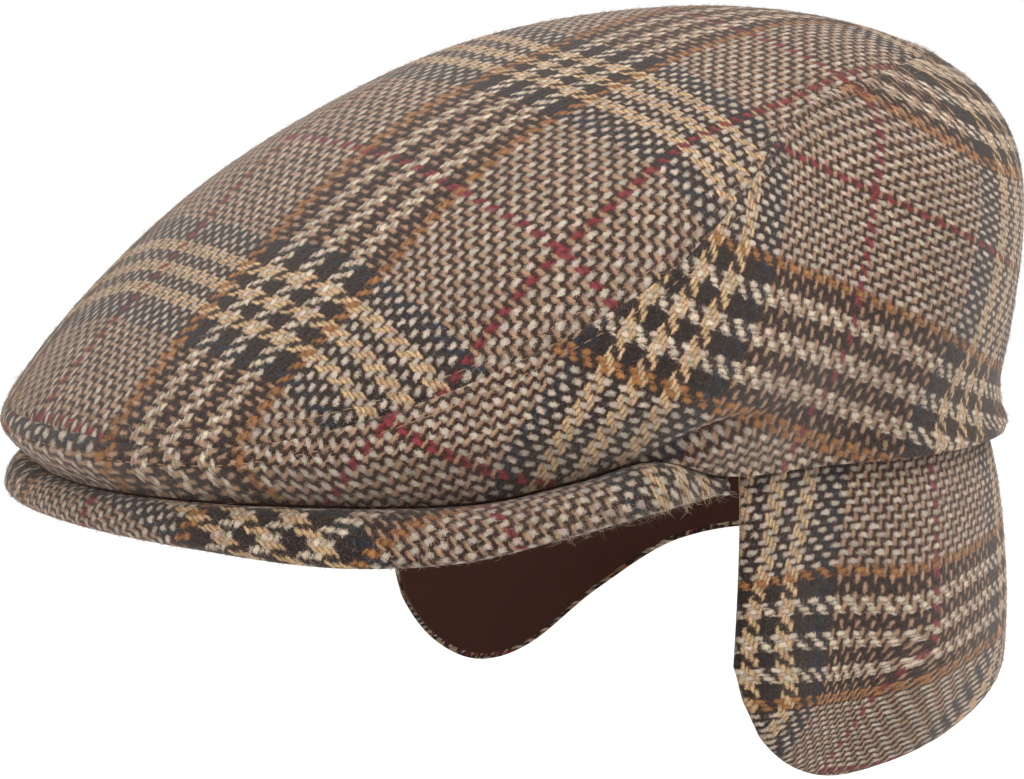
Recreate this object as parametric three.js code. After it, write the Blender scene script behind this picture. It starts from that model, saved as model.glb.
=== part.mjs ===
// Flat cap with an ear and neck flap that is folded down.
// All sizes are in millimetres. The front of the cap is -Y, the wearer's left is +X, up is +Z.
// The origin is the middle of the head opening, at the height of the crown's lower edge.
import * as THREE from 'three';

// Driving dimensions of the cloth and of the small gaps between sewn pieces
const CROWN_CLOTH = 2.0;
const FLAP_CLOTH = 1.6;
const LINING_CLOTH = 1.0;
const PIECE_GAP = 0.35;
const PEAK_GAP = 0.6;

// Crown: the highest point of the top panel
const APEX_Y = 24;
const APEX_HEIGHT = 104.5;

// Crown sections by angle from the front. Radius is measured from the upright through the origin.
// The belly is where the wall stands furthest out. Fullness rounds the crown above the belly.
const CROWN_SECTIONS = [
  { angle: 0, hemRadius: 148, bellyRadius: 154, bellyHeight: 5, fullness: 1.22, seamHeight: 10 },
  { angle: 30, hemRadius: 141, bellyRadius: 148, bellyHeight: 8, fullness: 1.24, seamHeight: 13.5 },
  { angle: 60, hemRadius: 114, bellyRadius: 123, bellyHeight: 19, fullness: 1.4, seamHeight: 42 },
  { angle: 90, hemRadius: 87, bellyRadius: 99, bellyHeight: 31, fullness: 1.65, seamHeight: 79.5 },
  { angle: 120, hemRadius: 90.5, bellyRadius: 102, bellyHeight: 43, fullness: 2.1, seamHeight: 90 },
  { angle: 150, hemRadius: 97, bellyRadius: 101.5, bellyHeight: 58, fullness: 2.5, seamHeight: 93.5 },
  { angle: 180, hemRadius: 98, bellyRadius: 102, bellyHeight: 60, fullness: 2.5, seamHeight: 94.5 },
];

// Height of the crown's lower edge, which rises over each end of the peak
const HEM_SECTIONS = [
  { angle: 0, height: -3.5 },
  { angle: 30, height: -2 },
  { angle: 46, height: -1 },
  { angle: 56, height: 3 },
  { angle: 65, height: 6.5 },
  { angle: 75, height: 1 },
  { angle: 90, height: 0 },
  { angle: 180, height: 0 },
];

// Peak: a curved plate covered in cloth, with a round outer edge, thinner towards its ends
const PEAK_END_ANGLE = 75;
const PEAK_LIP_LEAST = 3;
const HEAD_HALF_LENGTH = 97;
const HEAD_HALF_WIDTH = 83;
const PEAK_SECTIONS = [
  { angle: 0, edgeRadius: 151.5, edgeHeight: -12.2, thickness: 4.4 },
  { angle: 20, edgeRadius: 150.7, edgeHeight: -12.7, thickness: 4.4 },
  { angle: 35, edgeRadius: 146.3, edgeHeight: -14.4, thickness: 4.4 },
  { angle: 46, edgeRadius: 138.6, edgeHeight: -12.8, thickness: 4.3 },
  { angle: 55, edgeRadius: 129.5, edgeHeight: -8.3, thickness: 4.0 },
  { angle: 65, edgeRadius: 116, edgeHeight: -4.3, thickness: 3.6 },
  { angle: 75, edgeRadius: 100.5, edgeHeight: -3.2, thickness: 3.0 },
];

// Ear flap: how far the lower edge hangs on each side, and how far it stands out there
const FLAP_TUCK = 12;
const FLAP_BEND_DROP = 3.5;
const FLAP_BEND_LEVEL = 0.88;
const FLAP_FRONT_ANGLE = 79.5;
const FLAP_FRONT_LEAN = 1.6;
const FLAP_FRONT_INSET = 4;
const FLAP_CURL_ZONE = 26;
const LINING_INSET = 2.0;
const FLAP_SECTIONS = [
  { angle: 77.5, leftDrop: 44, rightDrop: 36, standOut: 4, curl: 0 },
  { angle: 79.5, leftDrop: 53.5, rightDrop: 45, standOut: 4, curl: 0 },
  { angle: 82, leftDrop: 61.5, rightDrop: 56, standOut: 5, curl: 0 },
  { angle: 88, leftDrop: 69.5, rightDrop: 68.5, standOut: 6, curl: 1 },
  { angle: 96, leftDrop: 73.5, rightDrop: 74.5, standOut: 7, curl: 2 },
  { angle: 106, leftDrop: 72.5, rightDrop: 71, standOut: 8, curl: 2.5 },
  { angle: 118, leftDrop: 69, rightDrop: 57, standOut: 8, curl: 2.5 },
  { angle: 132, leftDrop: 64, rightDrop: 43, standOut: 7.5, curl: 2 },
  { angle: 150, leftDrop: 57, rightDrop: 38.5, standOut: 6, curl: 1.5 },
  { angle: 180, leftDrop: 46, rightDrop: 46, standOut: 4, curl: 1.5 },
];

// How finely each piece is divided
const TOP_STEPS_AROUND = 72;
const TOP_STEPS_UP = 8;
const SIDE_STEPS_AROUND = 36;
const SIDE_STEPS_BELOW_BELLY = 4;
const SIDE_STEPS_ABOVE_BELLY = 6;
const PEAK_STEPS_AROUND = 46;
const FLAP_STEPS_AROUND = 60;
const FLAP_STEPS_DOWN = 9;
const FLAP_END_DENSITY = 0.55;

const TWEED = { color: 0x8a7460, roughness: 0.95, metalness: 0 };
const LINING = { color: 0x35251f, roughness: 0.85, metalness: 0 };

const radians = THREE.MathUtils.degToRad;

// Smooth curve through one column of a table, read at an angle
function readTable(rows, column, angle) {
  let next = 1;
  while (next < rows.length - 1 && angle > rows[next].angle) {
    next += 1;
  }
  const low = rows[next - 1];
  const high = rows[next];
  const before = rows[next - 2];
  const after = rows[next + 1];
  const span = high.angle - low.angle;
  const slopeLow = before ? (high[column] - before[column]) / (high.angle - before.angle) : 0;
  const slopeHigh = after ? (after[column] - low[column]) / (after.angle - low.angle) : 0;
  const t = THREE.MathUtils.clamp((angle - low.angle) / span, 0, 1);
  const t2 = t * t;
  const t3 = t2 * t;
  const valuePart = (2 * t3 - 3 * t2 + 1) * low[column] + (3 * t2 - 2 * t3) * high[column];
  const slopePart = (t3 - 2 * t2 + t) * slopeLow + (t3 - t2) * slopeHigh;
  return valuePart + span * slopePart;
}

// Angle from the front, folded onto one side of the cap
function sideAngle(angle) {
  const turn = Math.abs(angle) % 360;
  return turn > 180 ? 360 - turn : turn;
}

function crownValue(column, angle) {
  return readTable(CROWN_SECTIONS, column, sideAngle(angle));
}

function hemHeightAt(angle) {
  return readTable(HEM_SECTIONS, 'height', sideAngle(angle));
}

function atAngle(angle, radius, height) {
  const a = radians(angle);
  return new THREE.Vector3(radius * Math.sin(a), -radius * Math.cos(a), height);
}

// Crown wall from the hem (level 0) up to the belly (level 1)
function lowerCrown(angle, level) {
  const ease = level * level * (3 - 2 * level);
  const hemRadius = crownValue('hemRadius', angle);
  const hemHeight = hemHeightAt(angle);
  const radius = hemRadius + (crownValue('bellyRadius', angle) - hemRadius) * ease;
  const height = hemHeight + (crownValue('bellyHeight', angle) - hemHeight) * level;
  return atAngle(angle, radius, height);
}

// Crown from the belly (level 0) over to the apex (level 1)
function upperCrown(angle, level) {
  const belly = atAngle(angle, crownValue('bellyRadius', angle), crownValue('bellyHeight', angle));
  const share = Math.cos(level * Math.PI / 2);
  const rise = Math.pow(Math.max(0, 1 - share * share), 1 / crownValue('fullness', angle));
  return new THREE.Vector3(
    belly.x * share,
    APEX_Y + (belly.y - APEX_Y) * share,
    belly.z + (APEX_HEIGHT - belly.z) * rise,
  );
}

// Level on the upper crown where the seam between top and side panel runs
function seamLevel(angle) {
  const bellyHeight = crownValue('bellyHeight', angle);
  const share = (crownValue('seamHeight', angle) - bellyHeight) / (APEX_HEIGHT - bellyHeight);
  const level = Math.pow(share, crownValue('fullness', angle));
  return Math.acos(Math.sqrt(1 - level)) / (Math.PI / 2);
}

// Level step that moves a point by half the gap between pieces
function halfGapLevel(angle, level) {
  const step = 0.002;
  const length = upperCrown(angle, level + step).distanceTo(upperCrown(angle, level - step));
  return PIECE_GAP * step / length;
}

// Outward direction of a surface given by two parameters
function outward(surface, u, v, stepU, stepV) {
  const along = surface(u + stepU, v).sub(surface(u - stepU, v));
  const up = surface(u, v + stepV).sub(surface(u, v - stepV));
  return along.cross(up).normalize();
}

function inward(surface, u, v, stepU, stepV, depth) {
  return surface(u, v).addScaledVector(outward(surface, u, v, stepU, stepV), -depth);
}

// Closed body from a grid of outer points and a grid of inner points.
// The first index runs round the cap and the second runs up the wall.
function wallBody(outer, inner, joined, material, name) {
  const points = [];
  const faces = [];
  const columns = outer.length;
  const rows = outer[0].length;
  const outerId = (i, j) => (i % columns) * rows + j;
  const innerId = (i, j) => columns * rows + outerId(i, j);
  const quad = (a, b, c, d) => faces.push(a, b, c, a, c, d);
  for (const grid of [outer, inner]) {
    for (const column of grid) {
      for (const point of column) {
        points.push(point.x, point.y, point.z);
      }
    }
  }
  const spans = joined ? columns : columns - 1;
  for (let i = 0; i < spans; i += 1) {
    for (let j = 0; j < rows - 1; j += 1) {
      quad(outerId(i, j), outerId(i + 1, j), outerId(i + 1, j + 1), outerId(i, j + 1));
      quad(innerId(i, j), innerId(i, j + 1), innerId(i + 1, j + 1), innerId(i + 1, j));
    }
    quad(outerId(i, 0), innerId(i, 0), innerId(i + 1, 0), outerId(i + 1, 0));
    quad(outerId(i, rows - 1), outerId(i + 1, rows - 1), innerId(i + 1, rows - 1), innerId(i, rows - 1));
  }
  if (!joined) {
    for (let j = 0; j < rows - 1; j += 1) {
      const last = columns - 1;
      quad(outerId(0, j), outerId(0, j + 1), innerId(0, j + 1), innerId(0, j));
      quad(outerId(last, j), innerId(last, j), innerId(last, j + 1), outerId(last, j + 1));
    }
  }
  return meshFrom(points, faces, material, name);
}

// Named mesh without the empty triangles that a pole leaves
function meshFrom(points, faces, material, name) {
  const kept = [];
  const key = (id) => points.slice(3 * id, 3 * id + 3).map((value) => value.toFixed(4)).join(' ');
  for (let f = 0; f < faces.length; f += 3) {
    const corners = [key(faces[f]), key(faces[f + 1]), key(faces[f + 2])];
    if (new Set(corners).size === 3) {
      kept.push(faces[f], faces[f + 1], faces[f + 2]);
    }
  }
  const geometry = new THREE.BufferGeometry();
  geometry.setAttribute('position', new THREE.Float32BufferAttribute(points, 3));
  geometry.setIndex(kept);
  geometry.computeVertexNormals();
  const mesh = new THREE.Mesh(geometry, new THREE.MeshStandardMaterial(material));
  mesh.name = name;
  return mesh;
}

// Top panel: from the seam to the apex, one piece front to back
function topPanel() {
  const outer = [];
  const inner = [];
  for (let i = 0; i < TOP_STEPS_AROUND; i += 1) {
    const angle = 360 * i / TOP_STEPS_AROUND;
    const seam = seamLevel(angle);
    const start = seam + halfGapLevel(angle, seam);
    const outerColumn = [];
    const innerColumn = [];
    for (let j = 0; j < TOP_STEPS_UP; j += 1) {
      const level = start + (1 - start) * j / TOP_STEPS_UP;
      outerColumn.push(upperCrown(angle, level));
      innerColumn.push(inward(upperCrown, angle, level, 0.5, 0.002, CROWN_CLOTH));
    }
    outerColumn.push(new THREE.Vector3(0, APEX_Y, APEX_HEIGHT));
    innerColumn.push(new THREE.Vector3(0, APEX_Y, APEX_HEIGHT - CROWN_CLOTH));
    outer.push(outerColumn);
    inner.push(innerColumn);
  }
  return wallBody(outer, inner, true, TWEED, 'top_panel');
}

// Side panel of one side: from the hem to the seam, from centre front to centre back
function sidePanel(side, name) {
  const outer = [];
  const inner = [];
  const lower = (angle, level) => lowerCrown(angle, level);
  for (let i = 0; i <= SIDE_STEPS_AROUND; i += 1) {
    const frontEnd = THREE.MathUtils.radToDeg(PIECE_GAP / 2 / crownValue('hemRadius', 0));
    const backEnd = 180 - THREE.MathUtils.radToDeg(PIECE_GAP / 2 / crownValue('hemRadius', 180));
    const turn = 180 * (side > 0 ? i / SIDE_STEPS_AROUND : 1 - i / SIDE_STEPS_AROUND);
    const angle = side * THREE.MathUtils.clamp(turn, frontEnd, backEnd);
    const seam = seamLevel(angle);
    const end = seam - halfGapLevel(angle, seam);
    const outerColumn = [];
    const innerColumn = [];
    for (let j = 0; j < SIDE_STEPS_BELOW_BELLY; j += 1) {
      const level = j / SIDE_STEPS_BELOW_BELLY;
      outerColumn.push(lower(angle, level));
      innerColumn.push(inward(lower, angle, level, 0.5, 0.002, CROWN_CLOTH));
    }
    for (let j = 0; j <= SIDE_STEPS_ABOVE_BELLY; j += 1) {
      const level = Math.max(0.003, end * j / SIDE_STEPS_ABOVE_BELLY);
      outerColumn.push(upperCrown(angle, level));
      innerColumn.push(inward(upperCrown, angle, level, 0.5, 0.002, CROWN_CLOTH));
    }
    outer.push(outerColumn);
    inner.push(innerColumn);
  }
  return wallBody(outer, inner, false, TWEED, name);
}

// Radius of the head opening at an angle
function headRadius(angle) {
  const a = radians(angle);
  return 1 / Math.hypot(Math.sin(a) / HEAD_HALF_WIDTH, Math.cos(a) / HEAD_HALF_LENGTH);
}

// One cut through the peak, as a closed ring of points: out along the top and back along the underside
function peakCut(angle) {
  const side = sideAngle(angle);
  const topHeight = hemHeightAt(side) - PEAK_GAP;
  const hemRadius = crownValue('hemRadius', side);
  const innerRadius = headRadius(side);
  const half = readTable(PEAK_SECTIONS, 'thickness', side) / 2;
  const edgeRadius = readTable(PEAK_SECTIONS, 'edgeRadius', side);
  const edgeHeight = readTable(PEAK_SECTIONS, 'edgeHeight', side) + half;
  const bendRadius = Math.min(hemRadius + 0.4, edgeRadius - half - PEAK_LIP_LEAST);
  const start = new THREE.Vector2(innerRadius, topHeight - half);
  const bend = new THREE.Vector2(bendRadius, topHeight - half);
  const end = new THREE.Vector2(edgeRadius - half, edgeHeight);
  const middle = new THREE.Vector2((bend.x + end.x) / 2 + 0.8, (bend.y + end.y) / 2 + 0.4);
  const line = [start, start.clone().lerp(bend, 0.5), bend, middle, end];
  const top = [];
  const under = [];
  line.forEach((point, k) => {
    const before = line[Math.max(k > 2 ? 2 : 0, k - 1)];
    const after = line[Math.min(k > 2 ? line.length - 1 : 2, k + 1)];
    const across = new THREE.Vector2(before.y - after.y, after.x - before.x).normalize();
    top.push(point.clone().addScaledVector(across, half));
    under.unshift(point.clone().addScaledVector(across, -half));
  });
  const last = line[line.length - 1].clone().sub(line[line.length - 2]).angle();
  const round = [60, 20, -20, -60].map((turn) => new THREE.Vector2(
    end.x + half * Math.cos(last + radians(turn)),
    end.y + half * Math.sin(last + radians(turn)),
  ));
  return [...top, ...round, ...under].map((point) => atAngle(angle, point.x, point.y));
}

// Peak: cuts joined from one temple round the front to the other
function peak() {
  const points = [];
  const faces = [];
  const cuts = [];
  for (let i = 0; i <= PEAK_STEPS_AROUND; i += 1) {
    const angle = PEAK_END_ANGLE * (2 * i / PEAK_STEPS_AROUND - 1);
    cuts.push(peakCut(angle));
  }
  const count = cuts[0].length;
  const id = (i, k) => i * count + (k % count);
  cuts.flat().forEach((point) => points.push(point.x, point.y, point.z));
  for (let i = 0; i < PEAK_STEPS_AROUND; i += 1) {
    for (let k = 0; k < count; k += 1) {
      faces.push(id(i, k), id(i, k + 1), id(i + 1, k));
      faces.push(id(i + 1, k), id(i, k + 1), id(i + 1, k + 1));
    }
  }
  for (const i of [0, PEAK_STEPS_AROUND]) {
    for (let k = 0; k < count / 2 - 1; k += 1) {
      const corners = [id(i, k), id(i, k + 1), id(i, count - 2 - k), id(i, count - 1 - k)];
      const [a, b, c, d] = i === 0 ? corners.reverse() : corners;
      faces.push(a, b, c, a, c, d);
    }
  }
  return meshFrom(points, faces, TWEED, 'peak');
}

// Outer face of the ear flap. The first parameter runs from one front edge (0) round the back to
// the other (1), the second from the lower edge (0) up to the edge that is tucked into the crown (1).
function flapFace(around, up) {
  const hanging = THREE.MathUtils.clamp(up / FLAP_BEND_LEVEL, 0, 1);
  const tucked = Math.max(0, up - FLAP_BEND_LEVEL) / (1 - FLAP_BEND_LEVEL);
  const halfSpan = 180 - FLAP_FRONT_ANGLE + FLAP_FRONT_LEAN * (1 - hanging);
  const angle = 180 + (2 * around - 1) * halfSpan;
  const side = Math.max(FLAP_FRONT_ANGLE, sideAngle(angle));
  const drop = readTable(FLAP_SECTIONS, angle < 180 ? 'leftDrop' : 'rightDrop', sideAngle(angle));
  const depth = (drop - FLAP_BEND_DROP) * (1 - hanging);
  const height = -FLAP_BEND_DROP - depth + (FLAP_TUCK + FLAP_BEND_DROP) * tucked;
  const forward = Math.max(0, 90 - side) / (90 - FLAP_FRONT_ANGLE);
  const insideHem = crownValue('hemRadius', side) - CROWN_CLOTH - 2 * PIECE_GAP;
  const standOut = readTable(FLAP_SECTIONS, 'standOut', side) * 1.4 * depth / (depth + 30);
  const low = Math.max(0, 1 - (height + drop) / FLAP_CURL_ZONE);
  const curl = readTable(FLAP_SECTIONS, 'curl', side) * low * low;
  const radius = insideHem - FLAP_FRONT_INSET * forward * forward + standOut - curl;
  return atAngle(angle, radius, height);
}

// Band of cloth round the back, between two depths below the outer face of the flap.
// The inset keeps it back from the front edges and from the lower edge.
function flapBand(inset, outerDepth, innerDepth, material, name) {
  const outer = [];
  const inner = [];
  const halfTurn = radians(180 - FLAP_FRONT_ANGLE) * HEAD_HALF_WIDTH;
  const endShare = inset / (2 * halfTurn);
  for (let i = 0; i <= FLAP_STEPS_AROUND; i += 1) {
    const even = i / FLAP_STEPS_AROUND;
    const spread = even - FLAP_END_DENSITY * Math.sin(2 * Math.PI * even) / (2 * Math.PI);
    const around = THREE.MathUtils.clamp(spread, endShare, 1 - endShare);
    const length = flapFace(around, 0).distanceTo(flapFace(around, FLAP_BEND_LEVEL));
    const outerColumn = [];
    const innerColumn = [];
    for (let j = 0; j <= FLAP_STEPS_DOWN; j += 1) {
      const level = FLAP_BEND_LEVEL * j / (FLAP_STEPS_DOWN - 1);
      const up = j === FLAP_STEPS_DOWN ? 1 : Math.max(level, FLAP_BEND_LEVEL * inset / length);
      const face = (depth) => inward(flapFace, around, up, 0.004, 0.01, depth);
      outerColumn.push(outerDepth > 0 ? face(outerDepth) : flapFace(around, up));
      innerColumn.push(face(innerDepth));
    }
    outer.push(outerColumn);
    inner.push(innerColumn);
  }
  return wallBody(outer, inner, false, material, name);
}

// Ear flap: one band of cloth round the back, deep over the ears
function earFlap() {
  return flapBand(0, 0, FLAP_CLOTH, TWEED, 'ear_flap');
}

// Lining of the ear flap: lies on its inner face and stops short of its edge
function earFlapLining() {
  const start = FLAP_CLOTH + PIECE_GAP;
  return flapBand(LINING_INSET, start, start + LINING_CLOTH, LINING, 'ear_flap_lining');
}

const cap = new THREE.Group();
cap.name = 'flat_cap';
cap.add(topPanel());
cap.add(sidePanel(1, 'side_panel_left'));
cap.add(sidePanel(-1, 'side_panel_right'));
cap.add(peak());
cap.add(earFlap());
cap.add(earFlapLining());

export default cap;
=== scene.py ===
"""Tweed flat cap with a folded-down ear flap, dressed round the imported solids.

Lengths in the tables are millimetres and angles are degrees from the front of the cap.
The front is -Y, the wearer's left is +X and up is +Z, with the origin in the head opening.
"""
import math

import bmesh
import bpy
import numpy as np
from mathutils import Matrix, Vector


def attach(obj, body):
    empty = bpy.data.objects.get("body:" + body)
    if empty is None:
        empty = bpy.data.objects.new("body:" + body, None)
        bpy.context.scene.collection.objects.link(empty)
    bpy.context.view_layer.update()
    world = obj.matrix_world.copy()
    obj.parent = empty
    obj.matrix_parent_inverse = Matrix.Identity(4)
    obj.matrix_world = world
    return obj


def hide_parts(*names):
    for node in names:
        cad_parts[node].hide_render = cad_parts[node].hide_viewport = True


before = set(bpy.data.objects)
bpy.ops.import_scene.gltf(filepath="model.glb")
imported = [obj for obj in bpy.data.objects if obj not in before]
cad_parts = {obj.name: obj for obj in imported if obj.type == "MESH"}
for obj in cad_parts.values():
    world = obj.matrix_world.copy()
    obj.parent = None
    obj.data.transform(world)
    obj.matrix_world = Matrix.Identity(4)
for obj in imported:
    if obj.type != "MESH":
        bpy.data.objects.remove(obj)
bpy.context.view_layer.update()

MM = 0.001
TINY = 1e-9
LEAST_AREA = 1e-6
SEED = 7
SIDEWAYS = 90.0

# Cloth and the small gaps between sewn pieces
CROWN_CLOTH = 2.0
FLAP_CLOTH = 1.6
LINING_CLOTH = 1.0
PIECE_GAP = 0.35
PEAK_GAP = 0.6

# Crown by angle. The belly is where the wall stands furthest out.
APEX_Y = 24.0
APEX_HEIGHT = 104.5
CROWN = {
    "angle": (0, 30, 60, 90, 120, 150, 180),
    "hem_radius": (148, 141, 114, 87, 90.5, 97, 98),
    "belly_radius": (154, 148, 123, 99, 102, 101.5, 102),
    "belly_height": (5, 8, 19, 31, 43, 58, 60),
    "fullness": (1.22, 1.24, 1.4, 1.65, 2.1, 2.5, 2.5),
    "seam_height": (10, 13.5, 42, 79.5, 90, 93.5, 94.5),
}

# Height of the crown's lower edge by angle. It rises over each end of the peak.
HEM = {
    "angle": (0, 30, 46, 56, 65, 75, 90, 180),
    "height": (-3.5, -2, -1, 3, 6.5, 1, 0, 0),
}

# Peak by angle. Fibres stand out of its ends past the worn angle.
PEAK_END_ANGLE = 75.0
PEAK_WORN_ANGLE = 54.0
PEAK_LIP_LEAST = 3.0
PEAK_BEND_PAST_HEM = 0.4
PEAK_CORNER_PULL = 0.6
PEAK_HIDDEN_SHARES = (0.0, 0.5, 0.85)
PEAK_NOSE_TURN = 75.0
HEAD_HALF_LENGTH = 97.0
HEAD_HALF_WIDTH = 83.0
PEAK = {
    "angle": (0, 20, 35, 46, 55, 65, 75),
    "edge_radius": (151.5, 150.7, 146.3, 138.6, 129.5, 116, 100.5),
    "edge_height": (-12.2, -12.7, -14.4, -12.8, -8.3, -4.3, -3.2),
    "thickness": (4.4, 4.4, 4.4, 4.3, 4.0, 3.6, 3.0),
}

# Ear flap by angle
FLAP_TUCK = 12.0
FLAP_BEND_DROP = 3.5
FLAP_BEND_LEVEL = 0.88
FLAP_FRONT_ANGLE = 79.5
FLAP_FRONT_LEAN = 1.6
FLAP_FRONT_INSET = 4.0
FLAP_CURL_ZONE = 26.0
FLAP_FLARE = 1.4
FLAP_FLARE_DEPTH = 30.0
FLAP_EDGE_ROUND = 0.9
FLAP_EDGE_WIDTH = 2.6
LINING_INSET = 1.6
FLAP = {
    "angle": (77.5, 79.5, 82, 88, 96, 106, 118, 132, 150, 180),
    "left_drop": (44, 53.5, 61.5, 69.5, 73.5, 72.5, 69, 64, 57, 46),
    "right_drop": (36, 45, 56, 68.5, 74.5, 71, 57, 43, 38.5, 46),
    "stand_out": (4, 4, 5, 6, 7, 8, 8, 7.5, 6, 4),
    "curl": (0, 0, 0, 1, 2, 2.5, 2.5, 2, 1.5, 1.5),
}

# Seam: the cloth rolls into it and puffs beside it, with a row of stitches on each side
SEAM_GAP = 0.06
SEAM_ROLL = 0.25
SEAM_ROLL_WIDTH = 1.8
SEAM_PUFF = 0.2
SEAM_PUFF_PLACE = 2.0
SEAM_PUFF_WIDTH = 1.6
STITCH_LINE = 4.4
STITCH_SINK = 0.15
STITCH_SINK_WIDTH = 0.5
STITCH_START = 1.0
STITCH_LENGTH = 2.3
STITCH_PITCH = 3.3
STITCH_RADIUS = 0.13
STITCH_END = 0.6
STITCH_ARCH = 0.25
STITCH_DEPTH = 0.12
STITCH_AHEAD = 0.3
STITCH_RINGS = 5
STITCH_SIDES = 6

# Hem: behind the peak it stands out in a roll, and over the peak it curls in and sinks onto it.
# Each of these fades out over some degrees round the cap.
HEM_ROLL = 1.7
HEM_ROLL_HEIGHT = 1.8
HEM_ROLL_WIDTH = 3.0
HEM_ROLL_ANGLE = 85.0
HEM_ROLL_FADE = 35.0
HEM_TUCK = 0.9
HEM_TUCK_HEIGHT = 13.0
HEM_TUCK_WIDTH = 7.0
HEM_CURL = 2.2
HEM_CURL_LEAST = 0.1
HEM_CURL_HEIGHT = 4.5
HEM_CURL_ANGLE = 72.0
HEM_CURL_FADE = 10.0
HEM_SINK = 0.4
HEM_SINK_HEIGHT = 3.0
HEM_SINK_FADE = 4.0

# Fold in the crown's side where it is pulled over each end of the peak, with a roll of cloth below
FOLD_WIDTH = 2.0
FOLD_ROLL = 0.7
FOLD_ROLL_DROP = 5.5
FOLD_ROLL_WIDTH = 3.5
FOLD = {
    "angle": (60, 64, 67, 70, 75, 84, 100),
    "height": (6, 7.8, 9.4, 11.4, 13.6, 13.3, 12.5),
    "depth": (0, 0.6, 1.5, 2.0, 2.0, 1.0, 0),
}

# Slow swells of soft cloth: two waves, with the millimetres that each takes for one radian
SWELL_HEIGHT = 0.3
SWELL_SINK = 0.35
SWELL_HEM_FADE = 12.0
FIRST_WAVE = {"x": 19, "y": 24, "z": 31, "start": 0.6}
SECOND_WAVE = {"x": 33, "y": 15, "z": 21, "share": 0.6}

# Points on each panel: columns round the cap and rows up the wall, closer together at a seam
TOP_COLUMNS = 288
TOP_SEAM_SHARE = 0.1
TOP_SEAM_ROWS = 14
TOP_ROWS = 62
SIDE_COLUMNS = 241
SIDE_LOWER_ROWS = 24
SIDE_UPPER_ROWS = 29
SIDE_UPPER_START = 0.02
SIDE_SEAM_SHARE = 0.8
SIDE_SEAM_ROWS = 14
PEAK_COLUMNS = 241
PEAK_CURVE_ROWS = 9
PEAK_NOSE_ROWS = 11
PEAK_TOP_ROWS = len(PEAK_HIDDEN_SHARES) + PEAK_CURVE_ROWS
PEAK_NOSE_END = PEAK_TOP_ROWS + PEAK_NOSE_ROWS - 1
FLAP_COLUMNS = 321
FLAP_ROWS = 50
FLAP_TUCK_LEVELS = (0.92, 0.96, 1.0)
FLAP_END_DENSITY = 0.55
SHARP_EDGE = 60.0
WELD_DISTANCE = 1e-7

# Loose fibres: thin spikes with one bend
FIBRE_RADIUS = (0.03, 0.055)
FIBRE_TAPER = 0.85
FIBRE_ROOT_DEPTH = 0.1
FIBRE_LIFT = (0.15, 0.75)
FIBRE_CURL = 0.6
FIBRE_BEND_PLACE = 0.5
FIBRE_BEND_CURL = 0.4
FIBRE_TIP_LIFT = 0.5
FIBRE_EXTRA = 1.8
FIBRE_RARITY = 10

# Where fibres grow: how many, and their least and greatest length
FIBRES = {
    "top": (14000, 0.5, 1.3),
    "top seam": (2000, 0.7, 1.9),
    "side": (10000, 0.5, 1.3),
    "side seam": (700, 0.7, 1.9),
    "hem": (1000, 0.8, 2.2),
    "peak": (7000, 0.5, 1.3),
    "worn end": (420, 1.2, 3.4),
    "flap": (11000, 0.5, 1.3),
}
SEAM_FIBRE_ROWS = 8
HEM_FIBRE_ROWS = 6
PEAK_HIDDEN_ROWS = 4
PEAK_EDGE_ROWS = 2
FLAP_FIBRE_ROWS = 45

# Weave: two sets of stripes, each with a band, a plain ground and one red line in a repeat.
# Index 0 is the middle of the band and the red line lies half a repeat away. Widths are in threads.
REPEAT = 88
ROLLS = {
    "cream": (169, 154, 135),
    "tan": (169, 140, 105),
    "dark": (40, 31, 28),
    "navy": (35, 37, 43),
    "rust": (128, 86, 50),
    "red": (106, 40, 45),
    "ground pale": (151, 138, 124),
    "ground tan": (135, 107, 85),
    "ground dark": (49, 32, 26),
}
LENGTHWISE_EDGE = [(1, "red"), (26, "ground"), (3, "rust")]
LENGTHWISE_BAND = 3 * [(4, "dark"), (4, "cream")] + [(4, "dark")]
LENGTHWISE_STRIPES = LENGTHWISE_EDGE + LENGTHWISE_BAND + LENGTHWISE_EDGE[::-1]
CROSSWISE_EDGE = [(1, "red"), (25, "ground"), (4, "navy")]
CROSSWISE_BAND = 3 * [(4, "dark"), (4, "tan")] + [(4, "dark")]
CROSSWISE_STRIPES = CROSSWISE_EDGE + CROSSWISE_BAND + CROSSWISE_EDGE[::-1]

# Threads: each set arches over two threads and under two, the sets in turn by their rise.
# The light threads of the ground are fuller.
# The inner face of a wall is a few threads further on, so that its rims show the weave too.
THREADS_PASSED = 2.0
CROSSWISE_RISE = 1.0
LENGTHWISE_RISE = 3.0
CROSSWISE_FULLNESS = 0.03
LENGTHWISE_FULLNESS = 0.21
LENGTHWISE_SINK = 0.05
THREAD_ARCH = 0.4
THREAD_ROUND = 0.7
PLY_TURNS_ALONG = 2.0
PLY_TURNS_ACROSS = 1.5
PLY_SHADE = 0.25
RIM_THREADS = 1.6

# Noise in the cloth: scale, detail and roughness
NOISE = {
    "wander": (480.0, 2.0, 0.7),
    "fray": (4200.0, 1.0, 0.5),
    "slub": (640.0, 2.0, 0.6),
    "heather": (1000.0, 2.0, 0.7),
    "broad": (45.0, 2.0, 0.5),
    "lining wide": (45.0, 3.0, 0.5),
    "lining fine": (2400.0, 2.0, 0.5),
    "sewing": (3000.0, 2.0, 0.5),
}
WANDER_SHIFT = 1.5
FRAY_SHIFT = 1.4
SLUB_HEIGHT = 0.8

# Brightness of the threads, their relief, and the painted shade where they dip low, as in the gaps between
# them
HEATHER_SHARE = 0.38
BASE_BRIGHTNESS = 0.84
THREAD_BRIGHTNESS = 0.38
FRAY_BRIGHTNESS = 0.5
BROAD_BRIGHTNESS = 0.25
THREAD_RELIEF = 0.75
FRAY_RELIEF = 0.3
GAP_SHADE = (116, 97, 88)
GAP_TOP = 0.22
GAP_FADE = 0.75

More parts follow.
